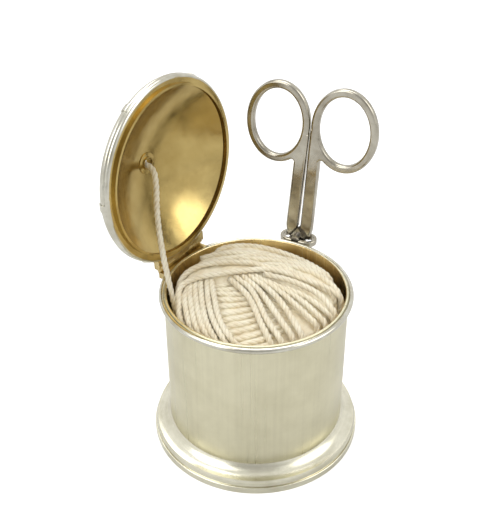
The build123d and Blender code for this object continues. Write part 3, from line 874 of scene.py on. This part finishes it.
    def top_turns(self) -> list[PlanLine]:
        """Return the last turns, which lie over all the others."""
        return [
            [(7.1, 0.8), (10.7, -9.4), (11.9, -17.9), (11.7, -25.7), (8.9, -33.3), (6.8, -38.4)],
            [(-17.6, 31.6), (-7.9, 33.9), (0.9, 29.8), (5.8, 20.9), (10.6, 11.2), (12.1, 4.1),
             (15.2, -3.3)],
            [(-22.2, 27.8), (-17.0, 29.0), (-9.6, 25.9), (-2.4, 17.3), (4.9, 8.8), (11.3, 2.0),
             (14.9, -6.7), (15.8, -13.9), (17.7, -22.8), (18.2, -30.1), (18.6, -35.3)],
        ]

    def matted_turns(self) -> list[PlanLine]:
        """Return the turns at the back and the right, half sunk in the mass."""
        return [
            [(5.9, 36.3), (11.4, 30.1), (15.7, 21.3), (21.4, 13.7), (25.6, 6.7)],
            [(12.6, 7.7), (20.0, 0.6), (25.2, -8.1), (25.9, -17.8), (23.1, -26.5), (20.0, -33.7)],
            [(14.5, 13.9), (20.4, 6.5), (25.7, -2.1), (29.0, -12.1), (27.8, -21.4)],
            [(19.8, -1.9), (19.3, -8.5), (18.2, -15.5), (17.4, -24.5), (18.5, -30.7)],
            [(14.0, 34.0), (21.0, 28.5), (27.0, 20.5), (31.5, 11.5), (33.5, 1.5), (33.0, -9.0),
             (30.0, -19.0)],
            [(3.0, 30.0), (10.0, 22.5), (17.0, 15.5), (23.5, 8.0), (29.0, -2.0), (31.5, -13.0),
             (29.5, -22.5)],
        ]

    def behind(self, x: float, y: float) -> float:
        """Return how far a point of the plan lies behind the last turn, to the back and the right."""
        edge = [(-39.0, 22.0), *self.top_turns()[-1], (19.5, -46.0)]
        nearest = None
        for (x0, y0), (x1, y1) in zip(edge, edge[1:]):
            along = max(0.0, min(1.0, ((x - x0) * (x1 - x0) + (y - y0) * (y1 - y0))
                                 / ((x1 - x0) ** 2 + (y1 - y0) ** 2)))
            gap = math.hypot(x - x0 - along * (x1 - x0), y - y0 - along * (y1 - y0))
            side = (x1 - x0) * (y - y0) - (y1 - y0) * (x - x0)
            if nearest is None or gap < abs(nearest):
                nearest = math.copysign(gap, side)
        return nearest

    def make_mass(self) -> bpy.types.Object:
        """Model the felted mass under the turns: a sphere whose points are moved to the ball's form."""
        deselect_all()
        bpy.ops.mesh.primitive_uv_sphere_add(
            segments=224, ring_count=150, radius=1.0, location=(0, 0, 0), calc_uvs=True)
        mass = bpy.context.active_object
        mass.name = "ball_mass"
        for vertex in mass.data.vertices:
            way = vertex.co.normalized()
            point = self.surface(way)
            rise = smooth_step(-6.0, 3.0, self.behind(point.x, point.y)) if way.z > 0.3 else 0.0
            depth = self.sunk_depth - self.matted_rise * rise * smooth_step(0.3, 0.6, way.z)
            bent = point.x * 0.9 + 1.3 * math.sin(point.y * 0.31)
            depth += self.wave_depth * math.sin(bent) * math.sin(point.y * 0.7 + point.x * 0.2)
            vertex.co = self.surface(way, depth) * MM
        bpy.ops.object.shade_smooth()
        return mass

    def make(self, cotton: Material) -> None:
        """Model the mass and its turns, which stand for the ball's two plain solids."""
        mass = self.make_mass()
        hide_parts("ball_core")
        loose = TwistedString(diameter=3.1 * MM)
        layers = [
            mass,
            self.wind("ball_cross_turns", self.cross_turns(), depth=3.9, under=4.2, spread=1.2,
                      twist=self.twist),
            self.wind("ball_left_band", self.left_band(), depth=1.2, under=2.0, spread=1.6,
                      twist=self.twist),
            self.wind("ball_fan", self.fan(), depth=1.2, under=2.6, spread=1.6, twist=self.twist),
            self.wind("ball_matted_turns", self.matted_turns(), depth=0.1, under=3.0, spread=1.6,
                      twist=loose),
            self.wind("ball_top_turns", self.top_turns(), depth=-0.9, under=1.8, spread=1.0,
                      twist=self.twist),
        ]
        for piece in layers:
            piece.data.materials.clear()
            piece.data.materials.append(cotton)
            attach(piece, Body.BOX.value)
        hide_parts("string_winding")
        log.info("wound the ball of string in %d pieces", len(layers))


@dataclass
class Studio:
    """The plain studio: a pale floor, soft lamps, a white surround and the camera.

    Attributes:
        camera_place: where the camera stands, in metres.
        look: the way it looks.
        right: the way that is right in its picture.
        lens: its focal length, in millimetres.
        sensor: the side of its sensor, in millimetres.
        surround_level: how bright the surround lights the object.
        room_way: the way to the darker part of the room, which the metal shows.
        room_dim: how bright that part is.
        window_way: the way to the soft window.
        window_level: how bright it is.
        floor_half: half the floor's side, in metres.
        floor_tone: how pale the floor is.
        seen_glow: how much the floor is brightened where the camera sees it.
        mirrored_glow: how much it is brightened where metal shows it.
        aim_height: the height that the lamps face, in metres.
    """

    camera_place: Place = (-271.49 * MM, -185.89 * MM, 316.75 * MM)
    look: Vector = field(default_factory=lambda: Vector((0.6795, 0.4739, -0.5601)))
    right: Vector = field(default_factory=lambda: Vector((0.572, -0.8202, 0.0)))
    lens: float = 61.27
    sensor: float = 36.0
    surround_level: float = 0.55
    room_way: Place = (-0.68, -0.47, 0.56)
    room_dim: float = 0.55
    window_way: Place = (0.26, -0.76, 0.60)
    window_level: float = 2.6
    floor_half: float = 3.0
    floor_tone: float = 0.7
    seen_glow: float = 0.55
    mirrored_glow: float = 0.12
    aim_height: float = 0.07

    def make_camera(self) -> None:
        """Set the camera at the photograph's viewing angle."""
        data = bpy.data.cameras.new("camera")
        data.lens = self.lens
        data.sensor_fit = "VERTICAL"
        data.sensor_width = self.sensor
        data.sensor_height = self.sensor
        data.clip_start = 0.01
        camera = bpy.data.objects.new("camera", data)
        look = self.look.normalized()
        right = (self.right - look * self.right.dot(look)).normalized()
        up = right.cross(look)
        turned = Matrix((right, up, -look)).transposed().to_4x4()
        camera.matrix_world = Matrix.Translation(self.camera_place) @ turned
        bpy.context.scene.collection.objects.link(camera)
        bpy.context.scene.camera = camera

    def make_surround(self) -> None:
        """Surround the object with white, which the object's metal shows and soft light comes from."""
        world = bpy.data.worlds.new("surround")
        world.use_nodes = True
        tree = world.node_tree
        tree.nodes.clear()
        output = add_node(tree, "OutputWorld")
        background = add_node(tree, "Background")
        path = add_node(tree, "LightPath")
        direction = add_node(tree, "TexCoord")
        room = self.add_patch(tree, direction, self.room_way, (0.70, 1.0), (0.99, self.room_dim))
        shown = add_node(tree, "Math", operation="MAXIMUM")
        glossy = add_node(tree, "Mix", data_type="RGBA")
        glossy.inputs[6].default_value = (self.surround_level,) * 3 + (1.0,)
        white = add_node(tree, "Mix", data_type="RGBA")
        white.inputs[7].default_value = (*WHITE, 1.0)
        links = tree.links
        links.new(path.outputs["Is Glossy Ray"], shown.inputs[0])
        links.new(path.outputs["Is Transmission Ray"], shown.inputs[1])
        links.new(shown.outputs[0], glossy.inputs["Factor"])
        links.new(self.add_window(tree, direction, room), glossy.inputs[7])
        links.new(glossy.outputs[2], white.inputs[6])
        links.new(path.outputs["Is Camera Ray"], white.inputs["Factor"])
        links.new(white.outputs[2], background.inputs["Color"])
        links.new(background.outputs[0], output.inputs["Surface"])
        bpy.context.scene.world = world

    def add_patch(self, tree: Tree, direction: Node, way: Place, outer: Stop, inner: Stop) -> Node:
        """Add a round patch of the surround with another grey, which fades into the rest.

        Args:
            tree: the surround's nodes.
            direction: the node that gives the way looked in.
            way: the way to the patch's middle.
            outer: the cosine at which the patch begins, and the grey outside it.
            inner: the cosine at which it is full, and its grey.

        Returns:
            The colour ramp that gives the grey.
        """
        facing = add_node(tree, "VectorMath", operation="DOT_PRODUCT")
        facing.inputs[1].default_value = way
        patch = add_node(tree, "ValToRGB")
        for element, (cosine, grey) in zip(patch.color_ramp.elements, (outer, inner)):
            element.position = cosine
            element.color = (grey, grey, grey, 1.0)
        tree.links.new(direction.outputs["Generated"], facing.inputs[0])
        tree.links.new(facing.outputs["Value"], patch.inputs["Fac"])
        return patch

    def add_window(self, tree: Tree, direction: Node, room: Node) -> Socket:
        """Add the soft window that the open lid mirrors low down on its right.

        Args:
            tree: the surround's nodes.
            direction: the node that gives the way looked in.
            room: the node that gives the room's own tone.

        Returns:
            The colour of the room with its window.
        """
        glow = self.add_patch(tree, direction, self.window_way, (0.90, 0.0), (0.995, 1.0))
        glow.color_ramp.interpolation = "EASE"
        lit = add_node(tree, "VectorMath", operation="SCALE")
        lit.inputs["Scale"].default_value = self.window_level
        both = add_node(tree, "VectorMath", operation="ADD")
        tree.links.new(glow.outputs["Color"], lit.inputs[0])
        tree.links.new(lit.outputs[0], both.inputs[0])
        tree.links.new(room.outputs["Color"], both.inputs[1])
        return both.outputs[0]

    def make_floor(self) -> None:
        """Lay the plain pale floor. It shows white where no shadow falls."""
        deselect_all()
        bpy.ops.mesh.primitive_plane_add(size=2 * self.floor_half, location=(0, 0, 0))
        floor = bpy.context.active_object
        floor.name = "floor"
        material = bpy.data.materials.new("pale_floor")
        material.use_nodes = True
        tree = material.node_tree
        tree.nodes.clear()
        output = add_node(tree, "OutputMaterial")
        matt = add_node(tree, "BsdfDiffuse")
        matt.inputs["Color"].default_value = (self.floor_tone,) * 3 + (1.0,)
        glow = add_node(tree, "Emission")
        path = add_node(tree, "LightPath")
        mirrored = add_node(tree, "Math", operation="MULTIPLY")
        mirrored.inputs[1].default_value = self.mirrored_glow
        level = add_node(tree, "Math", operation="MULTIPLY_ADD")
        level.inputs[1].default_value = self.seen_glow
        both = add_node(tree, "AddShader")
        tree.links.new(path.outputs["Is Glossy Ray"], mirrored.inputs[0])
        tree.links.new(path.outputs["Is Camera Ray"], level.inputs[0])
        tree.links.new(mirrored.outputs[0], level.inputs[2])
        tree.links.new(level.outputs[0], glow.inputs["Strength"])
        tree.links.new(matt.outputs[0], both.inputs[0])
        tree.links.new(glow.outputs[0], both.inputs[1])
        tree.links.new(both.outputs[0], output.inputs["Surface"])
        floor.data.materials.append(material)

    def add_lamp(self, name: str, place: Place, size: float, power: float,
                 mirrored: bool = True) -> None:
        """Hang a soft square lamp that faces the object.

        Args:
            name: the lamp's name.
            place: where it hangs, in metres.
            size: the length of its side.
            power: its power in watts.
            mirrored: whether the metal shows it.
        """
        data = bpy.data.lights.new(name, "AREA")
        data.shape = "SQUARE"
        data.size = size
        data.energy = power
        lamp = bpy.data.objects.new(name, data)
        lamp.visible_glossy = mirrored
        aim = Vector((0, 0, self.aim_height)) - Vector(place)
        lamp.matrix_world = Matrix.Translation(place) @ aim.to_track_quat("-Z", "Y").to_matrix().to_4x4()
        bpy.context.scene.collection.objects.link(lamp)

    def make(self) -> None:
        """Set up the whole studio."""
        self.make_camera()
        self.make_surround()
        self.make_floor()
        self.add_lamp("lamp_left", (-1.2, 0.5, 1.2), size=1.2, power=9.0)
        self.add_lamp("lamp_front", (0.10, -1.15, 0.78), size=0.9, power=4.5, mirrored=False)
        self.add_lamp("lamp_above", (0.4, 0.5, 1.6), size=1.2, power=14.0)
        bpy.context.scene.view_settings.view_transform = "Standard"
        log.info("set up the studio")


def main() -> None:
    """Build every piece in order."""
    logging.basicConfig(level=logging.INFO, format="%(name)s: %(message)s")
    Studio().make()
    cotton = COTTON.material()
    FreeString().make(cotton)
    MetalWork().dress()
    StringBall().make(cotton)
    deselect_all()


if __name__ == "__main__":
    main()
